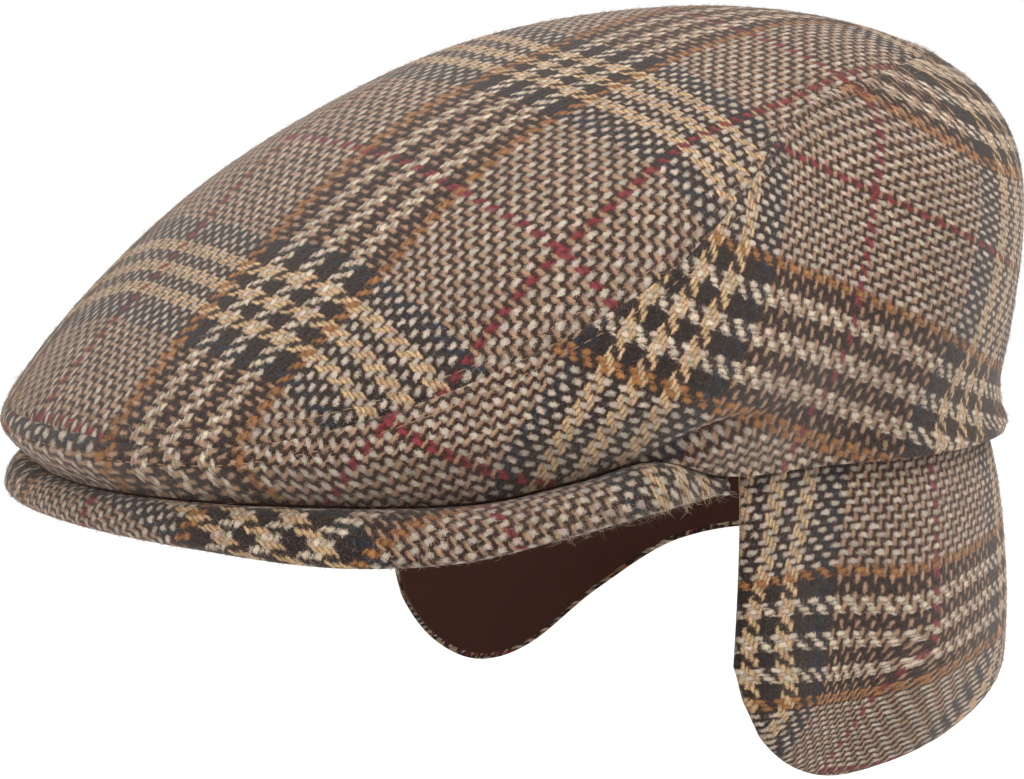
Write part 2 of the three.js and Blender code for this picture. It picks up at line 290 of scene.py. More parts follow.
# Finishes and colours. Bump distances are metres.
WOOL_FINISH = {
    "Roughness": 0.95,
    "Specular IOR Level": 0.1,
    "Sheen Weight": 0.2,
    "Sheen Roughness": 0.5,
    "Sheen Tint": (1.0, 0.89, 0.81, 1.0),
}
WOOL_BUMP = {"Strength": 0.5, "Distance": 0.0006}
FIBRE_PALE = (160, 142, 125)
FIBRE_PALE_SHARE = 0.3
LINING_FINISH = {"Roughness": 0.85, "Specular IOR Level": 0.12, "Sheen Weight": 0.05}
LINING_BUMP = {"Strength": 0.35, "Distance": 0.0003}
LINING_DEEP = (44, 22, 15)
LINING_MIDDLE = (60, 34, 24)
LINING_LIGHT = (74, 45, 32)
LINING_LIGHT_SHARE = 0.4
SEWING_FINISH = {"Roughness": 0.7, "Specular IOR Level": 0.3}
SEWING_BUMP = {"Strength": 0.4, "Distance": 0.0001}
SEWING_DARK = (104, 78, 58)
SEWING_LIGHT = (150, 120, 92)

# Charts of the cloth on each panel: a thread's index, and places that the thread passes.
# Top panel: x and y seen from above. Sides and flap: angle and height.
TOP_LENGTHWISE = {
    -103: ((-66, -75), (-70, -20)),
    -73: ((-38, -120), (-44, -75), (-60, 20)),
    -44: ((-6, -147), (-3, -135), (0, -121), (-5, -103), (-11, -91), (-15, -82), (-28, 20), (-33, 75)),
    -15: ((30, -140), (31, -125), (29.5, -108), (24.5, -81), (23.5, -62), (23, -40), (16.5, -15), (-2, 75)),
    15: ((64, -124), (64, -104), (58, -75), (54, -56), (48, -21), (42, -3), (33.5, 20), (24, 75)),
    44: ((91.5, -95), (86.5, -71), (82.5, -51), (77.5, -35), (72, -18), (67, 0), (62.5, 18), (52, 70)),
}
TOP_CROSSWISE = {
    -44: ((-6, -151), (30, -149), (66, -139)),
    -16: ((-5, -131), (28, -130), (40, -128.5), (51, -126), (60, -123)),
    16: ((-27, -109), (0, -111), (29, -109.5), (50, -102.5), (72, -97), (81, -94)),
    44: ((-50, -78), (-10, -81.5), (18, -81.5), (38, -78.5), (58, -75), (76, -67.5), (96, -57.5)),
    72: ((-50, -46), (40, -47), (54, -44), (68, -36), (79, -30), (87, -28)),
    104: ((-45, -14), (30, -22), (42, -15), (54, -11), (67, -4)),
    132: ((-40, 18), (44, 20.5), (56, 26)),
    176: ((-30, 66), (0, 67), (30, 66)),
}
SIDE_LENGTHWISE = {
    -103: ((10.7, 1), (12.1, 8)),
    -73: ((27.3, 1.5), (26.4, 7)),
    -44: ((39, 18), (42, 14.7), (45.2, 10), (48.3, 5.5), (53.2, 3)),
    -15: ((54.6, 33.6), (62.5, 27), (72, 19), (88, 9)),
    15: ((75.7, 53), (85, 47.5), (92, 43), (104, 34.5), (138.8, 17), (180, 6)),
    44: ((93.3, 72), (103, 63.7), (119.5, 50), (180, 34)),
    73: ((114, 86), (118.8, 78.3), (126.6, 69.5), (180, 62)),
    100: ((150, 92), (180, 90)),
}
SIDE_CROSSWISE = {
    -74: ((0, 10), (6, 11)),
    -64: ((0, 0), (6, 0.5)),
    -72: ((12, 10.5),),
    -69: ((20, 12),),
    -62: ((12, 0), (27, 13)),
    -52: ((27, -1.5),),
    -44: ((39, 18), (33.9, 1)),
    0: ((74.4, 56.6), (68.9, 44.3), (64.2, 32), (60.5, 19.6), (57.3, 8.4)),
    44: ((113.8, 83.5), (103, 63.7), (95.8, 41.8), (92.5, 26), (91.2, 16.4), (86, 1.8)),
    72: ((126.6, 69), (120, 53.3), (116, 39), (114.8, 25.5), (114, 13.3)),
    165: ((180, 0), (180, 45), (180, 90)),
}
FLAP_LENGTHWISE = {
    -44: ((84, -76), (94, -71.5), (99, -72), (120, -70), (180, -68)),
    -15: ((82.5, -53.5), (89.5, -54), (98, -54), (104.5, -53.5), (118.5, -51.5), (180, -48)),
    -8: ((80, -47), (85, -47.5), (96, -49), (104, -49)),
    0: ((80, -40), (87, -40), (99, -41), (113, -42.5)),
    8: ((80, -31.5), (87, -32), (99.5, -33.5), (115, -34.5)),
    15: ((80.5, -26.5), (87, -25.5), (100, -25.5), (115, -27), (180, -22)),
    44: ((79.5, 2), (110, 2), (140, 3), (180, 5)),
}
FLAP_CROSSWISE = {
    0: ((86, -2), (84.5, -11), (83, -22), (81, -30.5), (80, -45)),
    8: ((93, -4), (89.5, -15.5), (87.5, -22.5), (86.5, -31), (85.5, -44), (85.5, -57)),
    14: ((96, -9), (94, -16), (92, -29), (91, -37), (91, -52)),
    44: ((118.5, -12), (116.5, -29), (116, -36), (115, -45), (106, -52), (101, -58), (99, -62), (95, -69)),
    72: ((136.9, -10), (134.1, -29), (132.7, -48), (122, -60)),
    146: ((180, 0), (180, -40)),
}

# Heights at the centre where the far side's threads start to mirror the near side's
CENTRE_FRONT_HEIGHT = 5.0
CENTRE_BACK_HEIGHT = -20.0

# Cloth on the peak, seen from above: the middle of each set's band, and the width of a thread
PEAK_LENGTHWISE_MIDDLE = 72.6
PEAK_CROSSWISE_MIDDLE = -132.5
PEAK_PITCH_ACROSS = 1.24
PEAK_PITCH_FRONT = 0.83
PEAK_PITCH_BACK = 1.03

# Millimetres along the wall for a degree, so that charts by angle are even both ways
SIDE_ARC = 1.7
FLAP_ARC = 1.55

# How freely a chart may miss its places to stay smooth
CHART_SMOOTHING = 30.0
FLAP_SMOOTHING = 10.0

# View: the camera stands off the front left of the cap, a little above it. Lengths are metres.
VIEW_AZIMUTH = 61.0
VIEW_ELEVATION = 7.0
VIEW_DISTANCE = 1.0
VIEW_AIM = (0.0, -0.0286, 0.0108)
VIEW_LENS = 142.9
VIEW_SENSOR = 36.0
VIEW_NEAREST = 0.01

# Studio: a pale floor, white surroundings, a wide overhead light and a soft lamp on each side
FLOOR_HEIGHT = -0.28
FLOOR_HALF_SIZE = 40.0
FLOOR_COLOUR = (0.95, 0.95, 0.95, 1.0)
FLOOR_FINISH = {"Roughness": 0.9, "Specular IOR Level": 0.0}
WHITE = (1.0, 1.0, 1.0, 1.0)
SURROUNDINGS = 0.44
OVERHEAD = {"azimuth": 92, "elevation": 59, "power": 2.3, "spread": 80}
LAMP_SIZE = 0.8
LAMP_DISTANCE = 1.4
LAMPS = {
    "left": {"azimuth": 5, "elevation": 34, "power": 10.0},
    "right": {"azimuth": 130, "elevation": 52, "power": 13.0},
}


# Tables and the shape of the cap

def read_column(table, column, angle):
    """Smooth curve through one column of a table, read at an array of angles."""
    angles = np.array(table["angle"], float)
    values = np.array(table[column], float)
    slopes = np.zeros(len(values))
    slopes[1:-1] = (values[2:] - values[:-2]) / (angles[2:] - angles[:-2])
    low = np.clip(np.searchsorted(angles, angle) - 1, 0, len(angles) - 2)
    span = angles[low + 1] - angles[low]
    t = np.clip((angle - angles[low]) / span, 0, 1)
    value_part = (2 * t**3 - 3 * t**2 + 1) * values[low] + (3 * t**2 - 2 * t**3) * values[low + 1]
    slope_part = (t**3 - 2 * t**2 + t) * slopes[low] + (t**3 - t**2) * slopes[low + 1]
    return value_part + span * slope_part


def side_angle(angle):
    """Angle from the front, folded onto one side of the cap."""
    turn = np.abs(angle) % 360
    return np.where(turn > 180, 360 - turn, turn)


def crown(column, angle):
    return read_column(CROWN, column, side_angle(angle))


def hem_height(angle):
    return read_column(HEM, "height", side_angle(angle))


def at_angle(angle, radius, height):
    """Point at an angle from the front, a radius and a height."""
    turn = np.radians(angle)
    return np.stack(np.broadcast_arrays(radius * np.sin(turn), -radius * np.cos(turn), height), -1)


def lower_crown(angle, level):
    """Crown wall from the hem (level 0) up to the belly (level 1)."""
    ease = level**2 * (3 - 2 * level)
    hem_radius = crown("hem_radius", angle)
    low = hem_height(angle)
    radius = hem_radius + (crown("belly_radius", angle) - hem_radius) * ease
    height = low + (crown("belly_height", angle) - low) * level
    return at_angle(angle, radius, height)


def upper_crown(angle, level):
    """Crown from the belly (level 0) over to the apex (level 1)."""
    belly = at_angle(angle, crown("belly_radius", angle), crown("belly_height", angle))
    share = np.cos(level * math.pi / 2)
    rise = np.maximum(0, 1 - share**2) ** (1 / crown("fullness", angle))
    return np.stack([
        belly[..., 0] * share,
        APEX_Y + (belly[..., 1] - APEX_Y) * share,
        belly[..., 2] + (APEX_HEIGHT - belly[..., 2]) * rise,
    ], -1)


def seam_level(angle):
    """Level on the upper crown where the seam between top and side panel runs."""
    belly = crown("belly_height", angle)
    share = (crown("seam_height", angle) - belly) / (APEX_HEIGHT - belly)
    return np.arccos(np.sqrt(1 - share ** crown("fullness", angle))) / (math.pi / 2)


def half_gap_level(angle, level):
    """Level step that moves a point up the crown by half the gap at the seam."""
    step = 0.002
    move = upper_crown(angle, level + step) - upper_crown(angle, level - step)
    return SEAM_GAP * step / np.linalg.norm(move, axis=-1)


# Grids of points: the first index runs round the cap and the second runs up the wall

def grid_normals(points, closed):
    """Outward directions on a grid. Where the columns meet in one point, that is up."""
    if closed:
        around = np.roll(points, -1, axis=0) - np.roll(points, 1, axis=0)
    else:
        around = np.gradient(points, axis=0)
    normal = np.cross(around, np.gradient(points, axis=1))
    length = np.linalg.norm(normal, axis=-1, keepdims=True)
    upright = np.array([0.0, 0.0, 1.0])
    return np.where(length > LEAST_AREA, normal / np.maximum(length, TINY), upright)


def climb(points):
    """Distance up the wall from the first row."""
    steps = np.linalg.norm(np.diff(points, axis=1), axis=-1)
    return np.concatenate([np.zeros((len(points), 1)), np.cumsum(steps, axis=1)], axis=1)


def bell(distance, middle, width):
    """Smooth rise to 1 at the middle and back to 0."""
    return np.exp(-(((distance - middle) / width) ** 2))


def seam_relief(distance):
    """How far the cloth stands out, by its distance from a seam: it rolls in and puffs beside it."""
    roll = SEAM_ROLL * np.clip(1 - distance / SEAM_ROLL_WIDTH, 0, 1) ** 2
    puff = SEAM_PUFF * bell(distance, SEAM_PUFF_PLACE, SEAM_PUFF_WIDTH)
    return puff - roll - STITCH_SINK * bell(distance, STITCH_LINE, STITCH_SINK_WIDTH)


def soft_relief(points):
    """Slow swells of soft cloth."""
    x, y, z = points[..., 0], points[..., 1], points[..., 2]
    first = np.sin(x / FIRST_WAVE["x"] + FIRST_WAVE["start"])
    first = first * np.cos(y / FIRST_WAVE["y"] - z / FIRST_WAVE["z"])
    second = np.sin(y / SECOND_WAVE["y"] + x / SECOND_WAVE["x"] + z / SECOND_WAVE["z"])
    return SWELL_HEIGHT * (first + SECOND_WAVE["share"] * second) - SWELL_SINK


def hem_relief(angle, height):
    """Hem by its height up the wall: it curls in over the peak and stands out in a roll behind it."""
    side = side_angle(angle)
    behind = np.clip((side - HEM_ROLL_ANGLE) / HEM_ROLL_FADE, 0, 1)
    roll = HEM_ROLL * bell(height, HEM_ROLL_HEIGHT, HEM_ROLL_WIDTH)
    tuck = HEM_TUCK * bell(height, HEM_TUCK_HEIGHT, HEM_TUCK_WIDTH)
    in_front = np.clip((HEM_CURL_ANGLE - side) / HEM_CURL_FADE, HEM_CURL_LEAST, 1)
    curl = HEM_CURL * np.clip(1 - height / HEM_CURL_HEIGHT, 0, 1) ** 2
    return behind * (roll - tuck) - in_front * curl


def fold_relief(angle, points):
    """Fold over each end of the peak, and the roll of cloth below it."""
    side = np.clip(side_angle(angle), FOLD["angle"][0], FOLD["angle"][-1])
    above = points[..., 2] - read_column(FOLD, "height", side)
    roll = FOLD_ROLL * bell(above, -FOLD_ROLL_DROP, FOLD_ROLL_WIDTH)
    return read_column(FOLD, "depth", side) * (roll - bell(above, 0, FOLD_WIDTH))


# Charts

def thread_chart(lines, arc=1.0, smoothing=CHART_SMOOTHING):
    """Smooth thread index over a panel, by the places that its charted threads pass."""
    rows = [(place[0] * arc, place[1], index) for index, places in lines.items() for place in places]
    rows = np.array(rows, float)
    places = rows[:, :2]
    count = len(rows)

    def bend(gap):
        return gap**2 * np.log(np.maximum(gap, TINY))

    gaps = np.linalg.norm(places[:, None] - places[None], axis=-1)
    flat = np.column_stack([np.ones(count), places])
    total = count + flat.shape[1]
    matrix = np.zeros((total, total))
    matrix[:count, :count] = bend(gaps) + smoothing * np.eye(count)
    matrix[:count, count:] = flat
    matrix[count:, :count] = flat.T
    wanted = np.zeros(total)
    wanted[:count] = rows[:, 2]
    weights = np.linalg.solve(matrix, wanted)

    def read(across, along):
        spot = np.stack([across * arc, along], -1)
        index = weights[count] + spot @ weights[count + 1:]
        for place, weight in zip(places, weights):
            index = index + weight * bend(np.linalg.norm(spot - place, axis=-1))
        return index

    return read


def angle_of(points):
    return np.degrees(np.arctan2(points[..., 0], -points[..., 1]))


# Meshes

def new_mesh(name, points, faces, threads, materials):
    """Smooth mesh of points in millimetres, with thread coordinates where they are given."""
    mesh = bpy.data.meshes.new(name)
    mesh.from_pydata(points.reshape(-1, 3) * MM, [], faces)
    for material in materials:
        mesh.materials.append(material)
    mesh.update()
    if threads is not None:
        corners = np.empty(len(mesh.loops), np.int32)
        mesh.loops.foreach_get("vertex_index", corners)
        layer = mesh.uv_layers.new(name="threads")
        layer.data.foreach_set("uv", threads.reshape(-1, 2)[corners].astype(np.float32).ravel())
    mesh.polygons.foreach_set("use_smooth", np.ones(len(mesh.polygons), bool))
    mesh.set_sharp_from_angle(angle=math.radians(SHARP_EDGE))
    return mesh


def tube_faces(shape):
    """Faces of tubes with closed ends, for points by tube, ring and place round the ring."""
    ids = np.arange(math.prod(shape)).reshape(shape)
    following = np.roll(ids, -1, axis=2)
    sides = np.stack([ids[:, :-1], following[:, :-1], following[:, 1:], ids[:, 1:]], -1)
    return sides.reshape(-1, 4).tolist() + ids[:, 0, ::-1].tolist() + ids[:, -1].tolist()


def add_piece(name, mesh, replaced=()):
    """Adds a mesh to the scene as a piece that rides on the cap."""
    piece = bpy.data.objects.new(name, mesh)
    bpy.context.collection.objects.link(piece)
    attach(piece, "root")
    if replaced:
        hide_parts(*replaced)


def wall_piece(name, outer, inner, threads, closed, materials, node):
    """Closed wall between two grids. The first material is outside and on the rims, the second inside."""
    columns, rows = outer.shape[:2]
    ids = np.arange(columns * rows).reshape(columns, rows)
    if closed:
        ids_left = ids
        ids_right = np.roll(ids, -1, axis=0)
    else:
        ids_left = ids[:-1]
        ids_right = ids[1:]
    inside = columns * rows

    def quads(a, b, c, d):
        return np.stack([a.ravel(), b.ravel(), c.ravel(), d.ravel()], -1)

    outer_faces = quads(ids_left[:, :-1], ids_right[:, :-1], ids_right[:, 1:], ids_left[:, 1:])
    inner_faces = outer_faces[:, ::-1] + inside
    low = quads(ids_left[:, 0], ids_left[:, 0] + inside, ids_right[:, 0] + inside, ids_right[:, 0])
    high = quads(ids_left[:, -1], ids_right[:, -1], ids_right[:, -1] + inside, ids_left[:, -1] + inside)
    rims = [low, high]
    if not closed:
        first = ids[0]
        last = ids[-1]
        rims.append(quads(first[:-1], first[1:], first[1:] + inside, first[:-1] + inside))
        rims.append(quads(last[:-1], last[:-1] + inside, last[1:] + inside, last[1:]))
    faces = np.concatenate([outer_faces, *rims, inner_faces])
    both_threads = np.stack([threads, threads + RIM_THREADS])
    mesh = new_mesh(name, np.stack([outer, inner]), faces.tolist(), both_threads, materials)
    material_ids = np.zeros(len(faces), np.int32)
    material_ids[-len(inner_faces):] = len(materials) - 1
    mesh.polygons.foreach_set("material_index", material_ids)
    weld_poles(mesh)
    add_piece(name, mesh, [node])


def weld_poles(mesh):
    """Joins points that lie on each other, as at the apex."""
    work = bmesh.new()
    work.from_mesh(mesh)
    bmesh.ops.remove_doubles(work, verts=work.verts, dist=WELD_DISTANCE)
    work.to_mesh(mesh)
    work.free()


# Materials

class Graph:
    """Short way to add nodes to a tree and to join them."""

    def __init__(self, tree):
        self.tree = tree

    def add(self, kind, inputs=None, **settings):
        node = self.tree.nodes.new(kind)
        for name, value in settings.items():
            setattr(node, name, value)
        for name, value in (inputs or {}).items():
            if isinstance(value, bpy.types.NodeSocket):
                self.tree.links.new(value, node.inputs[name])
            else:
                node.inputs[name].default_value = value
        return node

    def math(self, operation, *values):
        return self.add("ShaderNodeMath", dict(enumerate(values)), operation=operation).outputs[0]

    def plus(self, first, second):
        return self.math("ADD", first, second)

    def minus(self, first, second):
        return self.math("SUBTRACT", first, second)

    def times(self, first, second):
        return self.math("MULTIPLY", first, second)

    def mix_number(self, share, low, high):
        inputs = {0: share, 2: low, 3: high}
        return self.add("ShaderNodeMix", inputs, data_type="FLOAT").outputs[0]

    def mix_colour(self, share, low, high, blend="MIX"):
        inputs = {0: share, 6: low, 7: high}
        return self.add("ShaderNodeMix", inputs, data_type="RGBA", blend_type=blend).outputs[2]

    def noise(self, place, name):
        scale, detail, roughness = NOISE[name]
        inputs = {"Vector": place, "Scale": scale, "Detail": detail, "Roughness": roughness}
        return self.add("ShaderNodeTexNoise", inputs)

    def scatter(self, *values):
        """Random number that stays the same for the same values."""
        place = self.add("ShaderNodeCombineXYZ", dict(enumerate(values))).outputs[0]
        return self.add("ShaderNodeTexWhiteNoise", {"Vector": place}).outputs["Value"]


def linear(colour):
    """Colour of 0 to 255 steps as linear light."""
    share = np.array(colour) / 255
    return (*np.where(share < 0.04045, share / 12.92, ((share + 0.055) / 1.055) ** 2.4), 1.0)


def stripe_ramp(graph, index, stripes, ground):
    """Colour of a thread, by its place in the repeat, with the ground's threads in the given colour."""
    place = graph.math("FLOORED_MODULO", graph.plus(index, REPEAT / 2), REPEAT)
    share = graph.math("DIVIDE", graph.plus(place, 0.5), REPEAT)
    ramp = graph.add("ShaderNodeValToRGB", {"Fac": share})
    ramp.color_ramp.interpolation = "CONSTANT"
    elements = ramp.color_ramp.elements
    start = 0
    for number, (width, name) in enumerate(stripes):
        given = number < len(elements)
        element = elements[number] if given else elements.new(start / REPEAT)
        element.position = start / REPEAT
        element.color = linear(ROLLS[ground if name == "ground" else name])
        start += width
    return ramp.outputs["Color"]


def thread_colour(graph, index, stripes, light):
    """Colour of a thread. In the ground, dark threads and the given light ones take turns."""
    even = stripe_ramp(graph, index, stripes, "ground dark")
    odd = stripe_ramp(graph, index, stripes, light)
    parity = graph.math("FLOORED_MODULO", index, 2.0)
    return graph.mix_colour(parity, even, odd)


def limit(graph, value):
    """Value kept between 0 and 1."""
    return graph.math("MINIMUM", graph.math("MAXIMUM", value, 0.0), 1.0)


def swing(graph, noise, amount):
    """Noise of 0 to 1, spread evenly to both sides of 0."""
    return graph.times(graph.minus(noise, 0.5), amount)


def thread_height(graph, across, along, index, rise):
    """Height and shade of a thread: round across it, up over two threads and down under two along it."""
    side = graph.minus(graph.times(graph.math("FRACT", across), 2.0), 1.0)
    roundness = graph.minus(1.0, graph.times(side, side))
    run = graph.minus(graph.plus(along, index), rise)
    wave = graph.math("COSINE", graph.times(run, math.pi / THREADS_PASSED))
    height = graph.plus(graph.times(wave, THREAD_ARCH), graph.times(roundness, THREAD_ROUND))
    waves = graph.math("DIVIDE", graph.plus(run, THREADS_PASSED), 2 * THREADS_PASSED)
    random_shade = graph.scatter(index, graph.math("FLOOR", waves), rise)
    turns = graph.plus(graph.times(along, PLY_TURNS_ALONG), graph.times(across, PLY_TURNS_ACROSS))
    ply = graph.math("SINE", graph.times(turns, 2 * math.pi))
    return height, graph.plus(random_shade, graph.times(ply, PLY_SHADE))


def thread_place(graph, thread, wander, fray, fullness):
    """Thread coordinate that wanders and frays. The odd threads, light in the ground, are fuller."""
    place = graph.plus(thread, swing(graph, wander, WANDER_SHIFT))
    place = graph.plus(place, swing(graph, fray, FRAY_SHIFT))
    swell = graph.math("COSINE", graph.times(place, math.pi))
    return graph.minus(place, graph.times(swell, fullness))


def weave(graph):
    """Colour and relief of a two-and-two twill, and the height of the thread on top, which shows."""
    place = graph.add("ShaderNodeTexCoord").outputs["Object"]
    threads = graph.add("ShaderNodeUVMap", uv_map="threads").outputs["UV"]
    thread = graph.add("ShaderNodeSeparateXYZ", {0: threads}).outputs
    wander = graph.noise(place, "wander").outputs["Color"]
    wander = graph.add("ShaderNodeSeparateColor", {0: wander}).outputs
    fray_noise = graph.noise(place, "fray").outputs
    fray = graph.add("ShaderNodeSeparateColor", {0: fray_noise["Color"]}).outputs
    across = thread_place(graph, thread[0], wander[0], fray[0], CROSSWISE_FULLNESS)
    along = thread_place(graph, thread[1], wander[1], fray[1], LENGTHWISE_FULLNESS)
    cross_index = graph.math("FLOOR", across)
    length_index = graph.math("FLOOR", along)
    cross_height, cross_shade = thread_height(graph, across, along, cross_index, CROSSWISE_RISE)
    length_height, length_shade = thread_height(graph, along, across, length_index, LENGTHWISE_RISE)
    slub = swing(graph, graph.noise(place, "slub").outputs["Fac"], SLUB_HEIGHT)
    length_height = graph.plus(length_height, graph.minus(slub, LENGTHWISE_SINK))
    lead = graph.minus(cross_height, length_height)
    cross_shows = limit(graph, graph.plus(lead, 0.5))
    top = graph.math("MAXIMUM", cross_height, length_height)

    cross_colour = thread_colour(graph, cross_index, CROSSWISE_STRIPES, "ground tan")
    length_colour = thread_colour(graph, length_index, LENGTHWISE_STRIPES, "ground pale")
    colour = graph.mix_colour(cross_shows, length_colour, cross_colour)
    shade = graph.mix_number(cross_shows, length_shade, cross_shade)

    fine = fray_noise["Fac"]
    heather = graph.noise(place, "heather").outputs["Color"]
    broad = graph.noise(place, "broad").outputs["Fac"]
    colour = graph.mix_colour(HEATHER_SHARE, colour, heather, "OVERLAY")
    value = graph.plus(BASE_BRIGHTNESS, graph.times(shade, THREAD_BRIGHTNESS))
    value = graph.plus(value, swing(graph, fine, FRAY_BRIGHTNESS))
    value = graph.plus(value, swing(graph, broad, BROAD_BRIGHTNESS))
    colour = graph.add("ShaderNodeHueSaturation", {"Color": colour, "Value": value}).outputs[0]
    relief = graph.plus(graph.times(top, THREAD_RELIEF), graph.times(fine, FRAY_RELIEF))
    return colour, relief, top


def new_material(name):
    """Empty material, and a graph to fill it."""
    material = bpy.data.materials.new(name)
    material.use_nodes = True
    tree = material.node_tree
    tree.nodes.clear()
    return material, Graph(tree)


def finish_material(graph, colour, finish, height=None, bump=None):
    """Adds the shader, and a bump where a height is given."""
    shader = graph.add("ShaderNodeBsdfPrincipled", {"Base Color": colour, **finish})
    if bump:
        normal = graph.add("ShaderNodeBump", {"Height": height, **bump}).outputs[0]
        graph.tree.links.new(normal, shader.inputs["Normal"])
    graph.add("ShaderNodeOutputMaterial", {"Surface": shader.outputs[0]})


def tweed_material():
    """Cloth, darker in the gaps between its threads: painted shade where the thread on top dips low."""
    material, graph = new_material("tweed")
    colour, relief, top = weave(graph)
    # Painted shade: the colour is multiplied by the gap shade where the thread on top dips low, and is kept
    # full on its crest
    unshaded_share = limit(graph, graph.math("DIVIDE", graph.minus(top, GAP_TOP), GAP_FADE))
    painted_gap_shade = graph.mix_colour(1.0, colour, linear(GAP_SHADE), "MULTIPLY")
    shaded = graph.mix_colour(unshaded_share, painted_gap_shade, colour)
    finish_material(graph, shaded, WOOL_FINISH, relief, WOOL_BUMP)
    return material


def fuzz_material():
    """Loose fibres, in a paler colour of the thread that they grow from."""
    material, graph = new_material("tweed_fibre")
    colour, _, _ = weave(graph)
    pale = graph.mix_colour(FIBRE_PALE_SHARE, colour, linear(FIBRE_PALE))
    finish_material(graph, pale, WOOL_FINISH)
    return material


def lining_material():
    """Plain dark brown cloth."""
    material, graph = new_material("lining")
    place = graph.add("ShaderNodeTexCoord").outputs["Object"]
    wide = graph.noise(place, "lining wide").outputs["Fac"]
    fine = graph.noise(place, "lining fine").outputs["Fac"]
    colour = graph.mix_colour(wide, linear(LINING_DEEP), linear(LINING_MIDDLE))
    colour = graph.mix_colour(graph.times(fine, LINING_LIGHT_SHARE), colour, linear(LINING_LIGHT))
    finish_material(graph, colour, LINING_FINISH, fine, LINING_BUMP)
    return material


def sewing_material():
    material, graph = new_material("sewing_thread")
    place = graph.add("ShaderNodeTexCoord").outputs["Object"]
    fine = graph.noise(place, "sewing").outputs["Fac"]
    colour = graph.mix_colour(fine, linear(SEWING_DARK), linear(SEWING_LIGHT))
    finish_material(graph, colour, SEWING_FINISH, fine, SEWING_BUMP)
    return material


TWEED = tweed_material()
FUZZ = fuzz_material()
LINING = lining_material()
SEWING = sewing_material()


# Fibres and stitches

def scatter_on(outer, threads, closed, count, rng):
    """Random places on a grid, even by area, with their outward direction and thread coordinates."""
    if closed:
        columns = len(outer)
        ahead = np.roll(np.arange(columns), -1)
    else:
        columns = len(outer) - 1
        ahead = np.arange(1, len(outer))
    normals = grid_normals(outer, closed)
    corner = outer[:columns, :-1]
    side = outer[ahead, :-1] - corner
    rise = outer[:columns, 1:] - corner
    area = np.linalg.norm(np.cross(side, rise), axis=-1).ravel()
    pick = rng.choice(len(area), size=count, p=area / area.sum())
    column, row = np.unravel_index(pick, (columns, outer.shape[1] - 1))
    side_share, rise_share = rng.random((2, count, 1))
    place = corner[column, row] + side_share * side[column, row] + rise_share * rise[column, row]
    thread = threads[column, row]
    spot = thread + side_share * (threads[ahead[column], row] - thread)
    spot = spot + rise_share * (threads[column, row + 1] - thread)
    return place, normals[column, row], spot


def fibre_piece(name, outer, threads, closed, kind, rng):
    """Loose fibres as thin three-sided spikes that bend over the cloth. A few are longer."""
    count, shortest, longest = FIBRES[kind]
    place, normal, spot = scatter_on(outer, threads, closed, count, rng)
    flat = np.cross(normal, rng.normal(size=(count, 3)))
    flat /= np.linalg.norm(flat, axis=1, keepdims=True)
    sideways = np.cross(normal, flat)
    curl = sideways * rng.normal(0, FIBRE_CURL, (count, 1))
    lift = rng.uniform(*FIBRE_LIFT, (count, 1)) * normal
    length = rng.uniform(shortest, longest, (count, 1))
    length = length + FIBRE_EXTRA * rng.random((count, 1)) ** FIBRE_RARITY
    radius = rng.uniform(*FIBRE_RADIUS, (count, 1))
    root = place - FIBRE_ROOT_DEPTH * normal
    bend = root + FIBRE_BEND_PLACE * length * (flat + lift + FIBRE_BEND_CURL * curl)
    tip = root + length * (flat + FIBRE_TIP_LIFT * lift + curl)
    points = []
    for middle, thick in ((root, 1.0), (bend, FIBRE_TAPER)):
        for turn in np.radians([0, 120, 240]):
            points.append(middle + radius * thick * (math.cos(turn) * normal + math.sin(turn) * sideways))
    points = np.stack([*points, tip], 1)
    base = np.arange(count)[:, None] * points.shape[1]
    faces = []
    for near in range(3):
        next_one = (near + 1) % 3
        faces += np.hstack([base + near, base + next_one, base + 3 + next_one, base + 3 + near]).tolist()
        faces += np.hstack([base + 3 + near, base + 3 + next_one, base + 6]).tolist()
    faces += np.hstack([base + 2, base + 1, base]).tolist()
    threads = np.repeat(spot, points.shape[1], axis=0)
    add_piece(name, new_mesh(name, points, faces, threads, [FUZZ]))


def row_at(points, distance, wanted):
    """Line across a grid where the distance up the wall has the wanted value in each column."""
    line = []
    for column, along in zip(points, distance):
        line.append([np.interp(wanted, along, column[:, axis]) for axis in range(3)])
    return np.array(line)


def stitch_rings(line, normals):
    """Points of the stitches along a line: short round threads, each sunk at both ends."""
    steps = np.linalg.norm(np.diff(line, axis=0), axis=1)
    along = np.concatenate([[0], np.cumsum(steps)])

    def read(values, place):
        return np.stack([np.interp(place, along, values[:, axis]) for axis in range(3)], -1)

    start = np.arange(STITCH_START, along[-1] - STITCH_PITCH, STITCH_PITCH)[:, None]
    run = np.linspace(0, STITCH_LENGTH, STITCH_RINGS)
    spot = read(line, start + run)
    up = read(normals, start + run)
    side = np.cross(up, read(line, start + run + STITCH_AHEAD) - spot)
    side /= np.linalg.norm(side, axis=-1, keepdims=True)
    rise = np.sin(math.pi * run / STITCH_LENGTH)[:, None]
    thick = STITCH_RADIUS * (STITCH_END + (1 - STITCH_END) * rise)
    middle = spot + up * (STITCH_ARCH * rise - STITCH_DEPTH)
    turns = np.linspace(0, 2 * math.pi, STITCH_SIDES, endpoint=False)
    return np.stack([middle + thick * (math.cos(t) * side + math.sin(t) * up) for t in turns], 2)


def stitch_piece(name, lines):
    """All stitches of the seam as one piece."""
    points = np.concatenate([stitch_rings(line, normals) for line, normals in lines])
    add_piece(name, new_mesh(name, points, tube_faces(points.shape[:3]), None, [SEWING]))


# Panels

